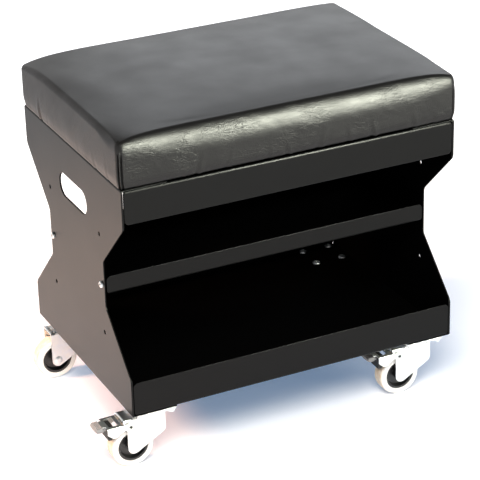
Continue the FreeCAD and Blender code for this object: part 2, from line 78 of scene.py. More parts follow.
MM = 0.001
CORNERS = ("front_left", "front_right", "rear_left", "rear_right")
BRAKED = ("front_left", "front_right")
COVER_LOW, COVER_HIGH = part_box("seat_cover")
BOARD_LOW, BOARD_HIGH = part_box("seat_board")

# The pad's mesh: spacing on its flats and rows over each rounding, for the filling and for show
FILL_STEP, FILL_ROWS = 6 * MM, 3
PAD_STEP, PAD_ROWS = 2.5 * MM, 18
FILL_FRAMES = 20


def linear(hex_colour):
    """Red, green, blue and alpha in linear light from an sRGB hex colour."""
    channels = [int(hex_colour[k:k + 2], 16) / 255 for k in (1, 3, 5)]
    return [c / 12.92 if c <= 0.04045 else ((c + 0.055) / 1.055) ** 2.4 for c in channels] + [1.0]


# Settings

class PadSettings(PropertyGroup):
    corner_radius: FloatProperty(
        name="Corner Radius", description="Rounding of the pad's upright corners in plan",
        default=7 * MM, unit="LENGTH")
    front_height: FloatProperty(
        name="Front Height", description="Height of the top's front edge over the underside",
        default=55 * MM, unit="LENGTH")
    back_height: FloatProperty(
        name="Back Height", description="Height of the top's back edge over the underside",
        default=56.5 * MM, unit="LENGTH")
    crown: FloatProperty(
        name="Crown", description="Rise of the top's middle over its edges",
        default=3 * MM, unit="LENGTH")
    ease: FloatProperty(
        name="Ease", description="How far the padded cover stands out past its CAD solid",
        default=1.5 * MM, unit="LENGTH")
    corner_droop: FloatProperty(
        name="Corner Droop", description="How much lower the top is at its front corners",
        default=7 * MM, unit="LENGTH")
    rear_droop: FloatVectorProperty(
        name="Rear Droop", description="How much lower the top is at its rear left and rear right corners",
        size=2, default=(11 * MM, 3.5 * MM), unit="LENGTH")
    corner_pull: FloatProperty(
        name="Corner Pull", description="Share by which the roundings tighten at the corners",
        default=0.5, min=0.0, max=0.9)
    front_round: FloatVectorProperty(
        name="Front Round", description="Depth and height of the rounding along the front", size=2,
        default=(13 * MM, 29 * MM), unit="LENGTH")
    side_round: FloatVectorProperty(
        name="Side Round", description="Depth and height of the rounding along the sides and the back",
        size=2, default=(6 * MM, 7 * MM), unit="LENGTH")
    swell_room: FloatProperty(
        name="Swell Room", description="How much smaller the pad is before it is filled",
        default=0.6 * MM, unit="LENGTH")
    swell_limit: FloatProperty(
        name="Swell Limit", description="Farthest that a point may move while the pad fills",
        default=1.6 * MM, unit="LENGTH")
    pressure: FloatProperty(
        name="Pressure", description="Pressure of the filling on the cover", default=1.0)
    evening: IntProperty(
        name="Evening", description="Passes that spread the swelling evenly, as dense foam does",
        default=12, min=0)
    hem_width: FloatProperty(
        name="Hem Width", description="Cover folded under the seat board", default=30 * MM, unit="LENGTH")
    pleat_depth: FloatProperty(
        name="Pleat Depth", description="Depth of the fold in each upright corner",
        default=3.2 * MM, unit="LENGTH")
    wrinkle_depth: FloatProperty(
        name="Wrinkle Depth", description="Depth of the deepest pull wrinkles above the staples",
        default=3.4 * MM, unit="LENGTH")


class FastenerSettings(PropertyGroup):
    socket_share: FloatProperty(
        name="Socket Share", description="Hexagon socket across its corners as a share of the head",
        default=0.5, min=0.2, max=0.8)
    thread_pitch: FloatProperty(
        name="Thread Pitch", description="Advance of the thread in one turn", default=0.8 * MM, unit="LENGTH")
    rib_pitch: FloatProperty(
        name="Rib Pitch", description="Distance between the pedal tip's ribs",
        default=1.9 * MM, unit="LENGTH")
    rib_depth: FloatProperty(
        name="Rib Depth", description="Depth between the pedal tip's ribs", default=0.8 * MM, unit="LENGTH")


class FinishSettings(PropertyGroup):
    powder_coat: FloatVectorProperty(
        name="Powder Coat", description="Steel body", subtype="COLOR", size=4, default=linear("#0B0C0C"))
    leatherette: FloatVectorProperty(
        name="Leatherette", description="Seat cover", subtype="COLOR", size=4, default=linear("#131313"))
    zinc: FloatVectorProperty(
        name="Zinc", description="Plated steel of the casters", subtype="COLOR", size=4,
        default=linear("#E6E8E8"))
    steel: FloatVectorProperty(
        name="Ball Steel", description="Balls of the swivel heads", subtype="COLOR", size=4,
        default=linear("#B9BABB"))
    tyre: FloatVectorProperty(
        name="Tyre", description="Soft tyres", subtype="COLOR", size=4, default=linear("#F2F2EF"))
    tread_dust: FloatVectorProperty(
        name="Tread Dust", description="Dust that the tread picks up", subtype="COLOR", size=4,
        default=linear("#C9A062"))
    hub: FloatVectorProperty(
        name="Hub", description="Wheel cores", subtype="COLOR", size=4, default=linear("#131314"))
    tip: FloatVectorProperty(
        name="Pedal Tip", description="Grips on the brake pedals", subtype="COLOR", size=4,
        default=linear("#8B8B8C"))
    shoe: FloatVectorProperty(
        name="Brake Shoe", description="Rubber pads of the brakes", subtype="COLOR", size=4,
        default=linear("#141414"))
    veneer: FloatVectorProperty(
        name="Veneer", description="Birch plies of the seat board", subtype="COLOR", size=4,
        default=linear("#CDB08A"))
    glue: FloatVectorProperty(
        name="Glue Line", description="Glue between the plies", subtype="COLOR", size=4,
        default=linear("#7B5B3B"))


class StudioSettings(PropertyGroup):
    lens: FloatProperty(name="Lens", description="Focal length in millimetres", default=152.32)
    distance: FloatProperty(
        name="Distance", description="From the camera to the aim", default=2.35, unit="LENGTH")
    azimuth: FloatProperty(
        name="Azimuth", description="Camera's place round the seat from the front", subtype="ANGLE",
        default=math.radians(-25.41))
    elevation: FloatProperty(
        name="Elevation", description="Camera's height above the horizon", subtype="ANGLE",
        default=math.radians(25.23))
    roll: FloatProperty(
        name="Roll", description="Tilt of the camera about its own axis", subtype="ANGLE",
        default=math.radians(-1.58))
    aim: FloatVectorProperty(
        name="Aim", description="Point in the middle of the picture", subtype="TRANSLATION",
        default=(0.003, 0.0044, 0.178))
    ambient: FloatProperty(
        name="Ambient", description="Even light of the white room", default=0.46)
    front_light: FloatProperty(
        name="Front Light", description="Radiance of the low softbox in front", default=6.0)
    front_shine: FloatProperty(
        name="Front Shine", description="Radiance of the softbox that glints on the seat's front",
        default=210.0)
    warm_light: FloatProperty(
        name="Warm Light", description="Radiance of the narrow lamp on the floor at the left", default=12.5)
    back_light: FloatProperty(
        name="Back Light", description="Radiance of the softbox behind on the right", default=2.6)
    high_light: FloatProperty(
        name="High Light", description="Radiance of the softbox over the camera", default=15.0)
    reach: FloatProperty(
        name="Reach", description="From the seat to the softboxes in front", default=2.2, unit="LENGTH")
    floor_glow: FloatProperty(
        name="Floor Glow", description="What lifts the lit floor to the backdrop's white", default=0.27)


# Finishes

def add_node(tree, kind, values=None, links=None, **properties):
    """Adds a node to a tree with its properties, socket values and incoming links."""
    node = tree.nodes.new(kind)
    for name, value in properties.items():
        setattr(node, name, value)
    for socket, value in (values or {}).items():
        node.inputs[socket].default_value = value
    for socket, source in (links or {}).items():
        tree.links.new(source, node.inputs[socket])
    return node


def start_finish(name, colour, roughness, metallic=0.0):
    """A material with its shader set to one colour; returns the material, tree, shader and object place."""
    material = bpy.data.materials.new(name)
    material.use_nodes = True
    tree = material.node_tree
    shader = tree.nodes["Principled BSDF"]
    shader.inputs["Base Color"].default_value = colour
    shader.inputs["Roughness"].default_value = roughness
    shader.inputs["Metallic"].default_value = metallic
    place = add_node(tree, "ShaderNodeTexCoord").outputs["Object"]
    return material, tree, shader, place


def per_size(size):
    """Texture scale at which one cell measures size, in metres."""
    return 1 / size


def powder_coated_steel(name, colours, outer, bend):
    """Sheet steel under a sprayed and baked satin powder coat; outer is half the size of its outer skin."""
    # Nearly black face on and mid grey at a glancing angle, under a faint orange peel;
    # the peel is drawn at 2.5 mm, where the real one of under 1 mm would not show.
    # Inside the body, away from the outer skin, the coat carries painted shade: near black, dull and almost
    # without reflection
    material, tree, shader, place = start_finish(name, colours.powder_coat, 0.34)
    shader.inputs["Specular IOR Level"].default_value = 0.165
    peel = add_node(tree, "ShaderNodeTexNoise", {"Scale": per_size(2.5 * MM), "Detail": 2.0},
                    {"Vector": place})
    haze = add_node(tree, "ShaderNodeTexNoise", {"Scale": per_size(60 * MM), "Detail": 3.0},
                    {"Vector": place})
    reach = add_node(tree, "ShaderNodeVectorMath", links={0: place}, operation="ABSOLUTE")
    parts = add_node(tree, "ShaderNodeSeparateXYZ", links={0: reach.outputs["Vector"]})
    fade = 1.5 * MM
    side, front = (
        add_node(tree, "ShaderNodeMapRange", {"From Min": edge - fade, "From Max": edge - fade / 3},
                 {"Value": parts.outputs[axis]})
        for axis, edge in zip("XY", outer))
    skin = add_node(tree, "ShaderNodeMath", operation="MAXIMUM",
                    links={0: side.outputs["Result"], 1: front.outputs["Result"]})
    # Painted shade inside the body: the IOR drops to 1.03 there, which takes out reflections, and the colour
    # goes near black
    film = add_node(tree, "ShaderNodeMapRange", {"To Min": 1.03, "To Max": 1.45},
                    {"Value": skin.outputs["Value"]})
    tree.links.new(film.outputs["Result"], shader.inputs["IOR"])
    tint = add_node(tree, "ShaderNodeMix", {6: linear("#030303"), 7: colours.powder_coat},
                    {0: skin.outputs["Value"]}, data_type="RGBA")
    tree.links.new(tint.outputs[2], shader.inputs["Base Color"])
    gloss = add_node(tree, "ShaderNodeMapRange", {"To Min": 0.27, "To Max": 0.33},
                     {"Value": haze.outputs["Fac"]})
    # Painted shade inside the body: the coat there is made dull, at roughness 0.7
    inside_shade_gloss = add_node(tree, "ShaderNodeMix", {2: 0.7}, {0: skin.outputs["Value"], 3: gloss.outputs["Result"]})
    tree.links.new(inside_shade_gloss.outputs[0], shader.inputs["Roughness"])
    rim = add_node(tree, "ShaderNodeBevel", {"Radius": bend}, samples=6)
    bump = add_node(tree, "ShaderNodeBump", {"Strength": 0.12, "Distance": 0.03 * MM},
                    {"Height": peel.outputs["Fac"], "Normal": rim.outputs["Normal"]})
    tree.links.new(bump.outputs["Normal"], shader.inputs["Normal"])
    return material


def embossed_leatherette(colours):
    """PVC-coated cloth with an embossed leather grain."""
    # Soft grey sheen broken by fine pebbles, slanting crinkles that glint in the highlight and,
    # on the upright faces, shallow dents where the cloth hangs slack. The pebbles are drawn at
    # 2 mm and the crinkles at 5 mm, twice life size, so that they show
    material, tree, shader, place = start_finish("embossed_leatherette", colours.leatherette, 0.38)
    shader.inputs["IOR"].default_value = 1.5
    shader.inputs["Specular IOR Level"].default_value = 0.29
    flat = add_node(tree, "ShaderNodeVectorMath", {1: (0.6, 1.0, 0.0)}, operation="MULTIPLY")
    parts = add_node(tree, "ShaderNodeSeparateXYZ", links={0: place})
    tree.links.new(add_node(tree, "ShaderNodeCombineXYZ", links={
        0: parts.outputs["Z"], 1: parts.outputs["Z"]}).outputs["Vector"], flat.inputs[0])
    sheet = add_node(tree, "ShaderNodeVectorMath", operation="ADD",
                     links={0: place, 1: flat.outputs["Vector"]}).outputs["Vector"]
    pebbles = add_node(tree, "ShaderNodeTexVoronoi", {"Scale": per_size(2 * MM)}, {"Vector": sheet},
                       feature="DISTANCE_TO_EDGE", voronoi_dimensions="2D")
    slanted = add_node(tree, "ShaderNodeMapping", {"Rotation": (0, 0, -0.6), "Scale": (0.45, 1.0, 1.0)},
                       {"Vector": sheet})
    crinkles = add_node(tree, "ShaderNodeTexNoise", {
        "Scale": per_size(5 * MM), "Detail": 2.0, "Roughness": 0.7, "Distortion": 0.6},
        {"Vector": slanted.outputs["Vector"]}, noise_dimensions="2D")
    pebble_height = add_node(tree, "ShaderNodeMapRange", {"From Max": 0.25, "To Max": 0.12},
                             {"Value": pebbles.outputs["Distance"]})
    fold = add_node(tree, "ShaderNodeMath", {1: 0.5}, {0: crinkles.outputs["Fac"]}, operation="SUBTRACT")
    ridge = add_node(tree, "ShaderNodeMath", links={0: fold.outputs["Value"]}, operation="ABSOLUTE")
    crinkle_height = add_node(tree, "ShaderNodeMapRange", {"From Max": 0.12, "To Max": 0.75},
                              {"Value": ridge.outputs["Value"]})
    dents = add_node(tree, "ShaderNodeTexNoise", {"Scale": per_size(24 * MM), "Detail": 1.0},
                     {"Vector": sheet}, noise_dimensions="2D")
    slack = add_node(tree, "ShaderNodeTexNoise", {"Scale": per_size(30 * MM), "Detail": 2.0},
                     {"Vector": place})
    loose = add_node(tree, "ShaderNodeMapRange", {"From Min": 0.4, "From Max": 0.65, "To Min": 0.2},
                     {"Value": slack.outputs["Fac"]})
    facing = add_node(tree, "ShaderNodeTexCoord").outputs["Normal"]
    up = add_node(tree, "ShaderNodeSeparateXYZ", links={0: facing})
    side = add_node(tree, "ShaderNodeMapRange", {"From Min": 0.98, "From Max": 0.7, "To Min": 0.15},
                    {"Value": up.outputs["Z"]})
    where = add_node(tree, "ShaderNodeMath", operation="MULTIPLY",
                     links={0: loose.outputs["Result"], 1: side.outputs["Result"]})
    crinkled = add_node(tree, "ShaderNodeMath", operation="MULTIPLY",
                        links={0: crinkle_height.outputs["Result"], 1: where.outputs["Value"]})
    fine = add_node(tree, "ShaderNodeMath", operation="ADD",
                    links={0: pebble_height.outputs["Result"], 1: crinkled.outputs["Value"]})
    soft = add_node(tree, "ShaderNodeMath", operation="MULTIPLY",
                    links={0: dents.outputs["Fac"], 1: side.outputs["Result"]})
    grain = add_node(tree, "ShaderNodeMath", {1: 3.0}, {0: soft.outputs["Value"], 2: fine.outputs["Value"]},
                     operation="MULTIPLY_ADD")
    patches = add_node(tree, "ShaderNodeTexNoise", {"Scale": per_size(45 * MM), "Detail": 4.0},
                       {"Vector": place})
    gloss = add_node(tree, "ShaderNodeMapRange", {
        "From Min": 0.3, "From Max": 0.7, "To Min": 0.35, "To Max": 0.41}, {"Value": patches.outputs["Fac"]})
    tree.links.new(gloss.outputs["Result"], shader.inputs["Roughness"])
    bump = add_node(tree, "ShaderNodeBump", {"Strength": 0.55, "Distance": 0.26 * MM},
                    {"Height": grain.outputs["Value"]})
    tree.links.new(bump.outputs["Normal"], shader.inputs["Normal"])
    return material


def bright_zinc(colours):
    """Pressed steel with bright zinc plating."""
    # Pale silver that takes the white room, with faint cold and straw clouds from the plating bath
    material, tree, shader, place = start_finish("bright_zinc_steel", colours.zinc, 0.3, 1.0)
    clouds = add_node(tree, "ShaderNodeTexNoise", {"Scale": per_size(7 * MM), "Detail": 3.0},
                      {"Vector": place})
    tint = add_node(tree, "ShaderNodeValToRGB", links={"Fac": clouds.outputs["Fac"]})
    tint.color_ramp.elements[0].position = 0.35
    tint.color_ramp.elements[0].color = linear("#DCE3E8")
    tint.color_ramp.elements[1].position = 0.65
    tint.color_ramp.elements[1].color = linear("#EAE8E0")
    even = add_node(tree, "ShaderNodeMix", {0: 0.5, 6: colours.zinc}, {7: tint.outputs["Color"]},
                    data_type="RGBA")
    tree.links.new(even.outputs[2], shader.inputs["Base Color"])
    gloss = add_node(tree, "ShaderNodeMapRange", {"To Min": 0.34, "To Max": 0.46},
                     {"Value": clouds.outputs["Fac"]})
    tree.links.new(gloss.outputs["Result"], shader.inputs["Roughness"])
    rim = add_node(tree, "ShaderNodeBevel", {"Radius": 0.3 * MM}, samples=4)
    tree.links.new(rim.outputs["Normal"], shader.inputs["Normal"])
    return material


def polished_ball_steel(colours):
    """Hardened chrome steel, ground and polished."""
    # Small dark mirrors with a thin film of grease that dulls them here and there
    material, tree, shader, place = start_finish("polished_ball_steel", colours.steel, 0.12, 1.0)
    grease = add_node(tree, "ShaderNodeTexNoise", {"Scale": per_size(3 * MM)}, {"Vector": place})
    gloss = add_node(tree, "ShaderNodeMapRange", {"To Min": 0.08, "To Max": 0.25},
                     {"Value": grease.outputs["Fac"]})
    tree.links.new(gloss.outputs["Result"], shader.inputs["Roughness"])
    return material


def moulded_tyre(colours):
    """Thermoplastic rubber moulded on the wheel."""
    # Off-white with a soft sheen; the tread has a straw film of dust that fades over the shoulder
    material, tree, shader, place = start_finish("moulded_tyre_rubber", colours.tyre, 0.5)
    shader.inputs["IOR"].default_value = 1.5
    unit = add_node(tree, "ShaderNodeTexCoord").outputs["Generated"]
    middle = add_node(tree, "ShaderNodeVectorMath", {1: (0.5, 0.5, 0.5)}, {0: unit}, operation="SUBTRACT")
    in_plane = add_node(tree, "ShaderNodeVectorMath", {1: (1.0, 0.0, 1.0)}, {0: middle.outputs["Vector"]},
                        operation="MULTIPLY")
    radius = add_node(tree, "ShaderNodeVectorMath", links={0: in_plane.outputs["Vector"]},
                      operation="LENGTH")
    specks = add_node(tree, "ShaderNodeTexNoise", {"Scale": per_size(5 * MM), "Detail": 4.0},
                      {"Vector": place})
    tread = add_node(tree, "ShaderNodeMapRange", {"From Min": 0.478, "From Max": 0.502},
                     {"Value": radius.outputs["Value"]})
    film = add_node(tree, "ShaderNodeMath", operation="MULTIPLY",
                    links={0: tread.outputs["Result"], 1: specks.outputs["Fac"]})
    dusty = add_node(tree, "ShaderNodeMix", {6: colours.tyre, 7: colours.tread_dust},
                     {0: film.outputs["Value"]}, data_type="RGBA")
    tree.links.new(dusty.outputs[2], shader.inputs["Base Color"])
    skin = add_node(tree, "ShaderNodeTexNoise", {"Scale": per_size(1.5 * MM)}, {"Vector": place})
    bump = add_node(tree, "ShaderNodeBump", {"Strength": 0.15, "Distance": 0.05 * MM},
                    {"Height": skin.outputs["Fac"]})
    tree.links.new(bump.outputs["Normal"], shader.inputs["Normal"])
    return material


def moulded_plastic(name, colour, grit, roughness):
    """Injection-moulded plastic with the mould's spark-eroded texture."""
    # Even colour with a dull sheen that the grit breaks up
    material, tree, shader, place = start_finish(name, colour, roughness)
    shader.inputs["IOR"].default_value = 1.53
    texture = add_node(tree, "ShaderNodeTexNoise", {"Scale": per_size(grit), "Detail": 3.0},
                       {"Vector": place})
    gloss = add_node(tree, "ShaderNodeMapRange", {"To Min": roughness - 0.06, "To Max": roughness + 0.06},
                     {"Value": texture.outputs["Fac"]})
    tree.links.new(gloss.outputs["Result"], shader.inputs["Roughness"])
    bump = add_node(tree, "ShaderNodeBump", {"Strength": 0.2, "Distance": 0.04 * MM},
                    {"Height": texture.outputs["Fac"]})
    tree.links.new(bump.outputs["Normal"], shader.inputs["Normal"])
    return material


def birch_plywood(colours):
    """Rotary-cut birch veneers glued crosswise."""
    # Pale plies between thin brown glue lines on the edge, and long grain on the face
    material, tree, shader, place = start_finish("birch_plywood", colours.veneer, 0.6)
    shader.inputs["IOR"].default_value = 1.45
    plies = add_node(tree, "ShaderNodeTexWave", {"Scale": per_size(1.5 * MM) / 20, "Distortion": 0.4},
                     {"Vector": place}, bands_direction="Z")
    stretch = add_node(tree, "ShaderNodeVectorMath", {1: (0.06, 1.0, 1.0)}, {0: place}, operation="MULTIPLY")
    grain = add_node(tree, "ShaderNodeTexNoise", {"Scale": per_size(3 * MM), "Detail": 5.0},
                     {"Vector": stretch.outputs["Vector"]})
    lines = add_node(tree, "ShaderNodeMath", operation="MULTIPLY",
                     links={0: plies.outputs["Fac"], 1: grain.outputs["Fac"]})
    wood = add_node(tree, "ShaderNodeMix", {6: colours.veneer, 7: colours.glue},
                    {0: lines.outputs["Value"]}, data_type="RGBA")
    tree.links.new(wood.outputs[2], shader.inputs["Base Color"])
    return material


def cover_in(material, *objects):
    """Gives objects one material in every slot."""
    for piece in objects:
        piece.data.materials.clear()
        piece.data.materials.append(material)


# Mesh pieces

def new_piece(name, points, faces, material, body, replaced):
    """A smooth-shaded mesh that rides on a body and stands for CAD nodes."""
    mesh = bpy.data.meshes.new(name)
    mesh.from_pydata([tuple(p) for p in points], [], faces)
    mesh.shade_smooth()
    mesh.update()
    piece = bpy.data.objects.new(name, mesh)
    bpy.context.scene.collection.objects.link(piece)
    cover_in(material, piece)
    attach(piece, body)
    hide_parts(*replaced)
    return piece


def grid_places(half, corner, step, fine):
    """Places from -half to half: closer ones over each rounded corner, even ones between."""
    arc = [half - corner + corner * math.tan(math.pi / 4 * k / fine) for k in range(1, fine + 1)]
    count = round(2 * (half - corner) / step)
    flat = [(2 * k / count - 1) * (half - corner) for k in range(count + 1)]
    return [-x for x in reversed(arc)] + flat + arc


def open_box(xs, ys, zs):
    """Points, faces and bottom rim of a box without a floor, on grid places."""
    index = {}
    points = []
    faces = []

    def at(i, j, k):
        if (i, j, k) not in index:
            index[i, j, k] = len(points)
            points.append((xs[i], ys[j], zs[k]))
        return index[i, j, k]

    i_end, j_end, k_end = len(xs) - 1, len(ys) - 1, len(zs) - 1
    for i in range(i_end):
        for j in range(j_end):
            faces.append((at(i, j, k_end), at(i + 1, j, k_end), at(i + 1, j + 1, k_end), at(i, j + 1, k_end)))
    walk = [(i, 0) for i in range(i_end)] + [(i_end, j) for j in range(j_end)]
    walk += [(i, j_end) for i in range(i_end, 0, -1)] + [(0, j) for j in range(j_end, 0, -1)]
    rounds = list(zip(walk, walk[1:] + walk[:1]))
    for k in range(k_end):
        for (i, j), (i2, j2) in rounds:
            faces.append((at(i, j, k), at(i2, j2, k), at(i2, j2, k + 1), at(i, j, k + 1)))
    rim = [at(i, j, 0) for i, j in walk]
    return np.array(points), faces, rim


def smooth_step(values, start, end):
    """0 before start, 1 after end and an easy turn between."""
    share = np.clip((values - start) / (end - start), 0, 1)
    return share * share * (3 - 2 * share)


def hump(values, middle, width):
    """1 at the middle, fading to 0 on both sides."""
    return np.exp(-((values - middle) / width) ** 2)


def pad_shape(pad, step, fine, shrink):
    """Points, faces, bottom rim and outward directions of the seat pad, drawn in by shrink."""
    half = np.array([COVER_HIGH.x - COVER_LOW.x, COVER_HIGH.y - COVER_LOW.y]) / 2 + pad.ease
    reach = 20 * MM
    foot = 5 * MM
    wall = 20 * MM
    rows = round((wall - foot) / step)
    levels = [foot * k / 4 for k in range(5)] + [foot + (wall - foot) * k / rows for k in range(1, rows + 1)]
    levels += [wall + reach * math.tan(math.pi / 4 * k / fine) for k in range(1, fine + 1)]
    xs = grid_places(half[0], reach, step, fine)
    ys = grid_places(half[1], reach, step, fine)
    points, faces, rim = open_box(xs, ys, levels)
    inner = half - reach
    core = np.clip(points[:, :2], -inner, inner) / inner
    core_z = np.minimum(points[:, 2], wall)
    out = np.column_stack([points[:, :2] - core * inner, points[:, 2] - core_z])
    out /= np.linalg.norm(out, axis=1)[:, None]
    level = np.hypot(out[:, 0], out[:, 1])
    rise = np.clip(out[:, 2], 0, 1)
    facing = out[:, :2] / np.maximum(level, 1e-9)[:, None]
    front = 0.5 * smooth_step(-core[:, 1], 0.6, 1.0) * (1 + np.clip(-facing[:, 1], 0, 1) ** 2)
    side_depth, side_drop = pad.side_round
    front_depth, front_drop = pad.front_round
    tight = 1 - pad.corner_pull * np.abs(core[:, 0] * core[:, 1]) ** 8
    depth_y = np.where(core[:, 1] < 0, front_depth, side_depth)
    depth = np.column_stack([np.full(len(core), side_depth), depth_y]) * tight[:, None]
    tuck = 2 * MM * (1 - smooth_step(core_z, -2 * MM, 6 * MM)) * (rise < 1e-6)
    extent = half - shrink - tuck[:, None] - depth * (1 - level[:, None])
    corner = pad.corner_radius * np.sqrt(level)[:, None]
    plan = core * (extent - corner) + corner * facing
    across = plan / half
    bow = np.clip(1 - across ** 2, 0, 1)
    top = pad.front_height + (pad.back_height - pad.front_height) * smooth_step(across[:, 1], -1, 0.6)
    rear = np.where(across[:, 0] < 0, *pad.rear_droop)
    droop = np.where(across[:, 1] < 0, pad.corner_droop, rear)
    narrow = np.where(across[:, 1] < 0, 14, 8)
    droop *= np.abs(across[:, 0]) ** narrow * across[:, 1] ** 4
    top += pad.crown * bow[:, 0] * bow[:, 1] - droop
    drop = (side_drop + (front_drop - side_drop) * front) * tight
    lower = (top - drop) * core_z / wall
    height = np.where(rise > 0, top - drop * (1 - rise), lower)
    shaped = np.column_stack([plan, height * (1 - shrink / pad.front_height)])
    return shaped, faces, rim, out


def fill_pad(pad):
    """Start points, triangles and moves of the pad's cover as the filling presses it out."""
    points, faces, rim, out = pad_shape(pad, FILL_STEP, FILL_ROWS, pad.swell_room)
    faces.append(tuple(reversed(rim)))
    mesh = bpy.data.meshes.new("pad_blank")
    mesh.from_pydata([tuple(p) for p in points], [], faces)
    blank = bpy.data.objects.new("pad_blank", mesh)
    scene = bpy.context.scene
    scene.collection.objects.link(blank)
    remesh = blank.modifiers.new("remesh", "REMESH")
    remesh.mode = "VOXEL"
    remesh.voxel_size = 5 * MM
    graph = bpy.context.evaluated_depsgraph_get()
    even = bpy.data.meshes.new_from_object(blank.evaluated_get(graph))
    blank.modifiers.clear()
    blank.data = even
    start = np.array([v.co for v in even.vertices])
    triangles = []
    for face in even.polygons:
        corners = list(face.vertices)
        triangles += [(corners[0], a, b) for a, b in zip(corners[1:], corners[2:])]
    stapled = blank.vertex_groups.new(name="stapled")
    stapled.add([int(k) for k in np.flatnonzero(start[:, 2] < 6 * MM)], 1.0, "REPLACE")
    cloth = blank.modifiers.new("cloth", "CLOTH")
    cloth.settings.quality = 6
    cloth.settings.mass = 0.3
    cloth.settings.use_pressure = True
    cloth.settings.uniform_pressure_force = pad.pressure
    cloth.settings.effector_weights.gravity = 0
    cloth.settings.vertex_group_mass = stapled.name
    for frame_number in range(1, FILL_FRAMES + 1):
        scene.frame_set(frame_number)
    graph = bpy.context.evaluated_depsgraph_get()
    filled = blank.evaluated_get(graph).to_mesh()
    moves = np.array([v.co for v in filled.vertices]) - start
    edges = np.array([edge.vertices[:] for edge in even.edges])
    partners = np.bincount(edges.ravel(), minlength=len(moves))[:, None]
    for _ in range(pad.evening):
        total = np.zeros_like(moves)
        np.add.at(total, edges[:, 0], moves[edges[:, 1]])
        np.add.at(total, edges[:, 1], moves[edges[:, 0]])
        moves = (moves + total / partners) / 2
    farthest = np.linalg.norm(moves, axis=1).max()
    moves *= min(1.0, pad.swell_limit / farthest)
    bpy.data.objects.remove(blank)
    scene.frame_set(1)
    return start, triangles, moves


def carry_moves(points, start, triangles, moves):
    """Points moved as the nearest place on the start surface moves."""
    surface = BVHTree.FromPolygons([tuple(p) for p in start], triangles)
    moved = np.array(points)
    for k, point in enumerate(points):
        place, normal, triangle, distance = surface.find_nearest(Vector(point))
        corners = triangles[triangle]
        shares = poly_3d_calc([Vector(start[c]) for c in corners], place)
        for share, corner in zip(shares, corners):
            moved[k] += share * moves[corner]
    return moved


def crease_pad(pad, points, out, normals):
    """Folds in the upright corners and pull wrinkles above the staples."""
    height = points[:, 2]
    turn = np.arctan2(np.abs(out[:, 1]), np.abs(out[:, 0]))
    along = pad.corner_radius * (turn - math.pi / 4)
    upright = 1 - np.clip(out[:, 2], 0, 1) ** 2
    fold_height = smooth_step(-height, -46 * MM, -30 * MM) * upright
    slit = hump(along, -0.8 * MM, 1.0 * MM) + 0.6 * hump(along, 2.6 * MM, 0.8 * MM)
    flap = hump(along, 0.9 * MM, 0.9 * MM)
    depth = pad.pleat_depth * (0.45 * flap - slit) * fold_height
    chance = random.Random(235)
    for side in range(4):
        axis, sign = side % 2, -1 if side < 2 else 1
        face = smooth_step(sign * out[:, 1 - axis], 0.8, 1.0)
        reach = np.abs(points[:, axis]).max() - 25 * MM
        spot = -reach + chance.uniform(5, 20) * MM
        while spot < reach:
            tall = chance.uniform(12, 32) * MM
            wide = chance.uniform(2.5, 4.5) * MM
            slant = chance.uniform(-0.35, 0.35)
            strength = chance.uniform(0.3, 1.0) ** 3
            offset = (points[:, axis] - spot - slant * height) / wide
            pull = offset * np.exp(-offset ** 2) * smooth_step(-height, -tall, -3 * MM)
            depth += pad.wrinkle_depth * strength * pull * face
            spot += chance.uniform(14, 40) * MM
    return points + normals * depth[:, None]


def add_hem(pad, points, faces, rim):
    """Points and faces with the cover folded under the board and closed behind it."""
    half = np.abs(points[rim]).max(axis=0)[:2]
    radius = pad.corner_radius
    inner = half - radius
    edge = points[rim][:, :2]
    core = np.clip(edge, -inner, inner)
    arm = edge - core
    rings = [(k * pad.hem_width / 3, 0.0) for k in (1, 2, 3)]
    rings.append((pad.hem_width, BOARD_LOW.z - COVER_LOW.z + 0.5 * MM))
    last = list(rim)
    total = len(points)
    layers = [points]
    for inset, height in rings:
        plan = core * ((inner - inset) / inner) + arm
        layers.append(np.column_stack([plan, np.full(len(rim), height)]))
        ring = list(range(total, total + len(rim)))
        total += len(rim)
        for k in range(len(rim)):
            after = (k + 1) % len(rim)
            faces.append((last[after], last[k], ring[k], ring[after]))
        last = ring
    faces.append(tuple(reversed(last)))
    return np.vstack(layers), faces


def point_normals(points, faces):
    """Unit normal of each point of a mesh."""
    mesh = bpy.data.meshes.new("normals")
    mesh.from_pydata([tuple(p) for p in points], [], faces)
    mesh.update()
    normals = np.array([v.normal for v in mesh.vertices])
    bpy.data.meshes.remove(mesh)
    return normals


def make_pad(pad, material):
    """Seat pad: filled shape, corner folds, wrinkles and hem."""
    points, faces, rim, out = pad_shape(pad, PAD_STEP, PAD_ROWS, 0.0)
    start, triangles, moves = fill_pad(pad)
    small = pad_shape(pad, PAD_STEP, PAD_ROWS, pad.swell_room)[0]
    points = carry_moves(small, start, triangles, moves)
    points = crease_pad(pad, points, out, point_normals(points, faces))
    points, faces = add_hem(pad, points, faces, rim)
    middle = (COVER_LOW + COVER_HIGH) / 2
    points += np.array([middle.x, middle.y, COVER_LOW.z])
    piece = new_piece("seat_pad", points, faces, material, "body",
                      ["seat_cover", "seat_foam"])
    return piece


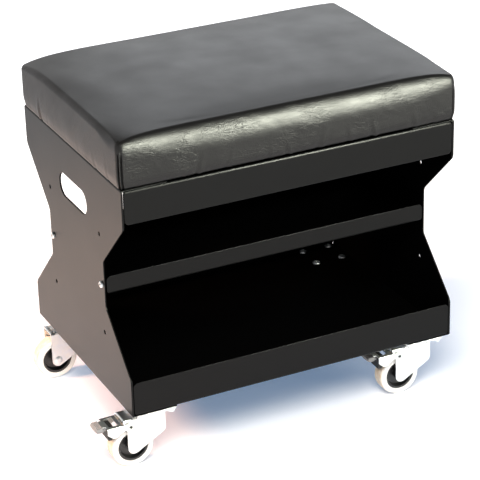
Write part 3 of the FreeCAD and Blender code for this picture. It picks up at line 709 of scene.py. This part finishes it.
def socket_screw(head, height, shank, length, settings):
    """Points and faces of a button-head screw: head upward from the origin, thread downward."""
    sides = 36
    socket = settings.socket_share * head / 2
    hexagon = math.pi / 3
    points = []
    faces = []

    def ring(radius_at, z_at):
        first = len(points)
        for s in range(sides):
            turn = 2 * math.pi * s / sides
            radius = radius_at(turn)
            points.append((radius * math.cos(turn), radius * math.sin(turn), z_at(turn)))
        if first:
            for s in range(sides):
                after = (s + 1) % sides
                faces.append((first - sides + s, first - sides + after, first + after, first + s))

    def flat_radius(turn):
        return socket * math.cos(hexagon / 2) / math.cos((turn % hexagon) - hexagon / 2)

    pitch = settings.thread_pitch
    rows = round(length / pitch * 6)
    for row in range(rows + 1):
        z = -length + length * row / rows
        bite = min(1.0, (z + length) / pitch)

        def thread(turn, z=z, bite=bite):
            wave = abs(((z / pitch - turn / (2 * math.pi)) % 1.0) * 2 - 1)
            return shank / 2 - pitch * (0.45 * wave * bite + 0.25 * (1 - bite))

        ring(thread, lambda turn, z=z: z)
    ring(lambda turn: head / 2, lambda turn: 0.0)
    for step in range(9):
        tilt = math.pi / 2 * step / 9
        ring(lambda turn, tilt=tilt: head / 2 - (head / 2 - socket * 1.25) * (1 - math.cos(tilt)),
             lambda turn, tilt=tilt: height * (0.25 + 0.75 * math.sin(tilt)))
    ring(lambda turn: socket * 1.12, lambda turn: height)
    ring(flat_radius, lambda turn: height * 0.96)
    ring(flat_radius, lambda turn: height * 0.3)
    faces.append(tuple(range(len(points) - sides, len(points))))
    faces.append(tuple(reversed(range(sides))))
    return points, faces


def set_screws(name, places, screw, material, replaced):
    """One piece of equal screws, each turned and set at its place."""
    points = []
    faces = []
    for matrix in places:
        first = len(points)
        points += [tuple(matrix @ Vector(p)) for p in screw[0]]
        faces += [tuple(first + k for k in face) for face in screw[1]]
    piece = new_piece(name, points, faces, material, "body", replaced)
    sharpen(piece)
    return piece


def sharpen(piece):
    """Splits the shading of a piece at its sharp edges."""
    with bpy.context.temp_override(object=piece, selected_objects=[piece], selected_editable_objects=[piece]):
        bpy.ops.object.shade_smooth_by_angle(angle=math.radians(35))


def loose_parts(node):
    """Lowest and highest corners of each separate solid in a CAD node."""
    mesh = frame["nodes"][node].data
    places = np.array([v.co for v in mesh.vertices])
    keys = {}
    group = [keys.setdefault(tuple(np.round(p, 6)), len(keys)) for p in places]
    parent = list(range(len(keys)))

    def root(k):
        while parent[k] != k:
            parent[k] = parent[parent[k]]
            k = parent[k]
        return k

    for edge in mesh.edges:
        a, b = (root(group[v]) for v in edge.vertices)
        parent[a] = b
    parts = {}
    for k, place in enumerate(places):
        parts.setdefault(root(group[k]), []).append(place)
    boxes = [(np.min(p, axis=0), np.max(p, axis=0)) for p in parts.values()]
    return [(Vector(low), Vector(high)) for low, high in boxes]


def pedal_tip(low, high, settings):
    """Points and faces of a rounded grip with ribs across it, within a box."""
    length, width, tall = high - low
    middle = (low.y + high.y) / 2
    stations = 60
    sides = 32
    points = []
    faces = []
    for station in range(stations + 1):
        run = station / stations * length
        nose = math.sqrt(max(0.0, 1 - max(0.0, 1 - run / (3 * MM)) ** 2))
        neck = float(smooth_step(np.array(run), length * 0.68, length * 0.8))
        half_y = (width / 2 - 2.6 * MM * (1 - nose)) * (1 - 0.18 * neck)
        half_z = tall / 2 * (0.35 + 0.65 * nose) * (1 - 0.3 * neck)
        z_mid = low.z + tall / 2 - 0.1 * tall * neck
        rib = settings.rib_depth * (0.5 - 0.5 * math.cos(2 * math.pi * run / settings.rib_pitch))
        corner = 2.2 * MM
        for side in range(sides):
            turn = 2 * math.pi * (side + 0.5) / sides
            c, s = math.cos(turn), math.sin(turn)
            y = math.copysign(min(abs(c) * 1.35, 1.0), c) * (half_y - corner) + corner * c
            z = math.copysign(min(abs(s) * 1.35, 1.0), s) * (half_z - corner) + corner * s
            z -= rib * max(0.0, s)
            points.append((low.x + run, middle + y, z_mid + z))
        if station:
            first = len(points) - sides
            for side in range(sides):
                after = (side + 1) % sides
                faces.append((first - sides + side, first + side, first + after, first - sides + after))
    faces.append(tuple(range(sides)))
    faces.append(tuple(reversed(range(len(points) - sides, len(points)))))
    return points, faces


# Operators

class CREEPER_OT_body(Operator):
    """Finish the powder-coated sheet body and the seat board"""
    bl_idname = "creeper.body"
    bl_label = "Finish the Body"

    def execute(self, context):
        colours = context.scene.creeper_finishes
        for name in ("left_side_panel", "right_side_panel", "top_plate", "middle_shelf", "bottom_tray"):
            outer_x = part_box("right_side_panel")[1].x
            outer_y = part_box(name)[1].y
            bend = (2.4 if name == "top_plate" else 0.5) * MM
            coat = powder_coated_steel(f"powder_coated_{name}", colours, (outer_x, outer_y), bend)
            cover_in(coat, frame["nodes"][name])
        cover_in(birch_plywood(colours), frame["nodes"]["seat_board"])
        return {"FINISHED"}


class CREEPER_OT_seat_pad(Operator):
    """Make the padded seat with its folds, wrinkles and hem"""
    bl_idname = "creeper.seat_pad"
    bl_label = "Upholster the Seat"

    def execute(self, context):
        make_pad(context.scene.creeper_pad, embossed_leatherette(context.scene.creeper_finishes))
        return {"FINISHED"}


class CREEPER_OT_fasteners(Operator):
    """Make the button-head screws and finish the nuts and seat screws"""
    bl_idname = "creeper.fasteners"
    bl_label = "Set the Fasteners"

    def execute(self, context):
        settings = context.scene.creeper_fasteners
        zinc = bright_zinc(context.scene.creeper_finishes)
        shelf_places = []
        for low, high in loose_parts("shelf_screws"):
            middle = (low + high) / 2
            outward = math.copysign(1.0, middle.x)
            face = outward * 0.2
            turn = Matrix.Rotation(outward * math.pi / 2, 4, "Y")
            shelf_places.append(Matrix.Translation((face, middle.y, middle.z)) @ turn)
            shelf_box = high - low
        head_height = 2.5 * MM
        screw = socket_screw(shelf_box.z, head_height, 4 * MM, shelf_box.x - head_height, settings)
        set_screws("shelf_button_screws", shelf_places, screw, zinc, ["shelf_screws"])
        bolt_places = []
        head_height = 2.8 * MM
        for low, high in loose_parts("caster_bolts"):
            middle = (low + high) / 2
            bolt_box = high - low
            bolt_places.append(Matrix.Translation((middle.x, middle.y, high.z - head_height)))
        screw = socket_screw(bolt_box.x, head_height, 5 * MM, bolt_box.z - head_height, settings)
        set_screws("caster_button_bolts", bolt_places, screw, zinc, ["caster_bolts"])
        cover_in(zinc, *(frame["nodes"][name] for name in ("seat_screws", "shelf_nuts", "caster_nuts")))
        return {"FINISHED"}


class CREEPER_OT_casters(Operator):
    """Finish the casters and make the ribbed pedal tips"""
    bl_idname = "creeper.casters"
    bl_label = "Finish the Casters"

    def execute(self, context):
        colours = context.scene.creeper_finishes
        settings = context.scene.creeper_fasteners
        nodes = frame["nodes"]
        zinc = bright_zinc(colours)
        tyre = moulded_tyre(colours)
        hub = moulded_plastic("moulded_black_nylon", colours.hub, 0.9 * MM, 0.34)
        tip = moulded_plastic("moulded_grey_polypropylene", colours.tip, 1.2 * MM, 0.5)
        shoe = moulded_plastic("moulded_black_rubber", colours.shoe, 1.0 * MM, 0.6)
        cover_in(polished_ball_steel(colours), nodes["swivel_balls"])
        for corner in CORNERS:
            plated = ("caster_plate", "kingpin", "fork", "wheel_bushing", "axle")
            cover_in(zinc, *(nodes[f"{corner}_{name}"] for name in plated))
            cover_in(tyre, nodes[f"{corner}_tyre"])
            cover_in(hub, nodes[f"{corner}_wheel_hub"])
        for corner in BRAKED:
            cover_in(zinc, nodes[f"{corner}_brake_pedal"], nodes[f"{corner}_pedal_pin"])
            cover_in(shoe, nodes[f"{corner}_brake_shoe"])
            replaced = f"{corner}_pedal_tip"
            points, faces = pedal_tip(*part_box(replaced), settings)
            new_piece(f"{corner}_ribbed_tip", points, faces, tip, f"{corner}_pedal",
                      [replaced])
        return {"FINISHED"}


class CREEPER_OT_studio(Operator):
    """Set up the camera, the lamps, the white room and the floor"""
    bl_idname = "creeper.studio"
    bl_label = "Set Up the Studio"

    def execute(self, context):
        studio = context.scene.creeper_studio
        scene = context.scene
        scene.view_settings.view_transform = "Standard"
        add_camera(scene, studio)
        add_floor(scene, studio)
        add_room(scene, studio)
        # Each softbox: where it stands, what it faces, its size in metres, radiance and tint
        seat_edge = Vector((0, -0.1, 0.38))
        under_seat = Vector((0, -0.1, 0))
        pool = Vector((-0.33, 0.22, 0))
        add_softbox(scene, "front_softbox", seat_edge + turned(42, 1, studio.reach), seat_edge,
                    (1.1, 0.5), studio.front_light, "#FFFDF6")
        glint = add_softbox(scene, "front_shine", seat_edge + turned(26.5, 17, 1.4), seat_edge,
                            (0.2, 0.5), studio.front_shine, "#FCFFEC")
        glint.visible_diffuse = False
        flash = add_softbox(scene, "high_softbox", seat_edge + turned(-28, 46, 2.0), under_seat,
                            (1.1, 1.1), studio.high_light, "#FFF9F0")
        flash.visible_glossy = False
        warm = add_softbox(scene, "warm_softbox", pool + turned(-100, 40, 1.3), pool,
                           (0.3, 0.3), studio.warm_light, "#FFC9A6")
        warm.data.spread = math.radians(60)
        warm.visible_glossy = False
        add_softbox(scene, "back_softbox", Vector((1.5, 2.4, 1.5)), seat_edge,
                    (1.6, 0.8), studio.back_light, "#F4F9FF")
        return {"FINISHED"}


# Studio

def add_camera(scene, studio):
    camera = bpy.data.cameras.new("camera")
    camera.lens = studio.lens
    camera.sensor_width = 36
    eye = bpy.data.objects.new("camera", camera)
    turn = Matrix.Rotation(studio.azimuth, 4, "Z") @ Matrix.Rotation(math.pi / 2 - studio.elevation, 4, "X")
    back = turn @ Vector((0, 0, studio.distance))
    spot = Matrix.Translation(Vector(studio.aim) + back)
    eye.matrix_world = spot @ turn @ Matrix.Rotation(studio.roll, 4, "Z")
    scene.collection.objects.link(eye)
    scene.camera = eye


def add_floor(scene, studio):
    """White floor that keeps the seat's shadow; a painted glow lifts it to the backdrop's white where it is
    lit and farther out.
    """
    half = 6.0
    mesh = bpy.data.meshes.new("floor")
    ground = [(-half, -half, 0), (half, -half, 0), (half, half, 0), (-half, half, 0)]
    mesh.from_pydata(ground, [], [(0, 1, 2, 3)])
    floor = bpy.data.objects.new("floor", mesh)
    scene.collection.objects.link(floor)
    # Matt white paint: even and without sheen. Over it lies a painted glow that grows away from the seat and
    # lifts the far floor and its shadows to the backdrop's white; near the seat the glow is painted cold
    # blue, a painted tint in the seat's shadow
    material, tree, shader, place = start_finish("matt_white_floor", linear("#F4F4F3"), 0.9)
    shader.inputs["Specular IOR Level"].default_value = 0.0
    rays = add_node(tree, "ShaderNodeLightPath")
    away = add_node(tree, "ShaderNodeVectorMath", links={0: place}, operation="LENGTH").outputs["Value"]
    sweep = add_node(tree, "ShaderNodeMapRange", {
        "From Min": 0.33, "From Max": 0.7, "To Min": studio.floor_glow, "To Max": 0.7}, {"Value": away})
    seen = add_node(tree, "ShaderNodeMath", operation="MULTIPLY",
                    links={0: rays.outputs["Is Camera Ray"], 1: sweep.outputs["Result"]})
    bounced = add_node(tree, "ShaderNodeMath", operation="MAXIMUM",
                       links={0: rays.outputs["Is Glossy Ray"], 1: rays.outputs["Is Transmission Ray"]})
    glow = add_node(tree, "ShaderNodeMath", {1: studio.floor_glow},
                    {0: bounced.outputs["Value"], 2: seen.outputs["Value"]}, operation="MULTIPLY_ADD")
    tree.links.new(glow.outputs["Value"], shader.inputs["Emission Strength"])
    # Painted cold tint for the seat's shadow: the glow is blue near the seat and fades to white farther out
    painted_tint_fade = add_node(tree, "ShaderNodeMapRange", {"From Min": 0.25, "From Max": 0.5}, {"Value": away})
    tint = add_node(tree, "ShaderNodeMix", {6: linear("#A0CCFF"), 7: linear("#FFFFFF")},
                    {0: painted_tint_fade.outputs["Result"]}, data_type="RGBA")
    tree.links.new(tint.outputs[2], shader.inputs["Emission Color"])
    cover_in(material, floor)


def add_room(scene, studio):
    """White room: even light, a bright backdrop round the seat and a darker ceiling in reflections."""
    world = bpy.data.worlds.new("white_room")
    scene.world = world
    world.use_nodes = True
    tree = world.node_tree
    tree.nodes.clear()
    even = add_node(tree, "ShaderNodeBackground", {"Color": linear("#EEF2FF"), "Strength": studio.ambient})
    place = add_node(tree, "ShaderNodeTexCoord").outputs["Generated"]
    parts = add_node(tree, "ShaderNodeSeparateXYZ", links={0: place})
    walls = add_node(tree, "ShaderNodeValToRGB", links={"Fac": parts.outputs["Z"]})
    ramp = walls.color_ramp
    ramp.elements[0].position = 0.0
    ramp.elements[0].color = linear("#FFFFFF")
    ramp.elements[1].position = 1.0
    ramp.elements[1].color = linear("#2A2A2A")
    ramp.elements.new(0.5).color = linear("#FFFFFF")
    ramp.elements.new(0.66).color = linear("#3A3A3A")
    room = add_node(tree, "ShaderNodeBackground", {"Strength": 0.88}, {"Color": walls.outputs["Color"]})
    white = add_node(tree, "ShaderNodeBackground", {"Color": linear("#FFFFFF"), "Strength": 1.0})
    rays = add_node(tree, "ShaderNodeLightPath")
    seen = add_node(tree, "ShaderNodeMath", operation="MAXIMUM",
                    links={0: rays.outputs["Is Camera Ray"], 1: rays.outputs["Is Transmission Ray"]})
    mirrored = add_node(tree, "ShaderNodeMixShader", links={
        0: rays.outputs["Is Glossy Ray"], 1: even.outputs["Background"], 2: room.outputs["Background"]})
    shown = add_node(tree, "ShaderNodeMixShader", links={
        0: seen.outputs["Value"], 1: mirrored.outputs["Shader"], 2: white.outputs["Background"]})
    add_node(tree, "ShaderNodeOutputWorld", links={"Surface": shown.outputs["Shader"]})


def turned(azimuth, elevation, reach):
    """Way of a given length at degrees round from the front and above the floor."""
    azimuth, elevation = math.radians(azimuth), math.radians(elevation)
    level = reach * math.cos(elevation)
    return Vector((level * math.sin(azimuth), -level * math.cos(azimuth), reach * math.sin(elevation)))


def add_softbox(scene, name, place, aim, size, radiance, colour):
    """Rectangular lamp of an even radiance, turned to the aim."""
    lamp = bpy.data.lights.new(name, "AREA")
    lamp.shape = "RECTANGLE"
    lamp.size, lamp.size_y = size
    lamp.energy = radiance * math.pi * size[0] * size[1]
    lamp.color = linear(colour)[:3]
    box = bpy.data.objects.new(name, lamp)
    box.matrix_world = Matrix.Translation(place) @ (aim - place).to_track_quat("-Z", "Y").to_matrix().to_4x4()
    scene.collection.objects.link(box)
    return box


class CREEPER_PT_dressing(Panel):
    """Steps of dressing the creeper seat"""
    bl_label = "Creeper Seat"
    bl_idname = "CREEPER_PT_dressing"
    bl_space_type = "VIEW_3D"
    bl_region_type = "UI"
    bl_category = "Creeper Seat"

    def draw(self, context):
        for step in STEPS:
            self.layout.operator(step.bl_idname)
        for group in SETTINGS:
            column = self.layout.column(align=True)
            for name in SETTINGS[group].__annotations__:
                column.prop(getattr(context.scene, group), name)


STEPS = (CREEPER_OT_body, CREEPER_OT_seat_pad, CREEPER_OT_fasteners, CREEPER_OT_casters, CREEPER_OT_studio)
SETTINGS = {
    "creeper_pad": PadSettings,
    "creeper_fasteners": FastenerSettings,
    "creeper_finishes": FinishSettings,
    "creeper_studio": StudioSettings,
}


def register():
    for kind in (*SETTINGS.values(), *STEPS, CREEPER_PT_dressing):
        bpy.utils.register_class(kind)
    for group, kind in SETTINGS.items():
        setattr(bpy.types.Scene, group, PointerProperty(type=kind))


def unregister():
    for group in SETTINGS:
        delattr(bpy.types.Scene, group)
    for kind in reversed((*SETTINGS.values(), *STEPS, CREEPER_PT_dressing)):
        bpy.utils.unregister_class(kind)


def main():
    register()
    bpy.ops.creeper.studio()
    bpy.ops.creeper.body()
    bpy.ops.creeper.seat_pad()
    bpy.ops.creeper.fasteners()
    bpy.ops.creeper.casters()


if __name__ == "__main__":
    main()
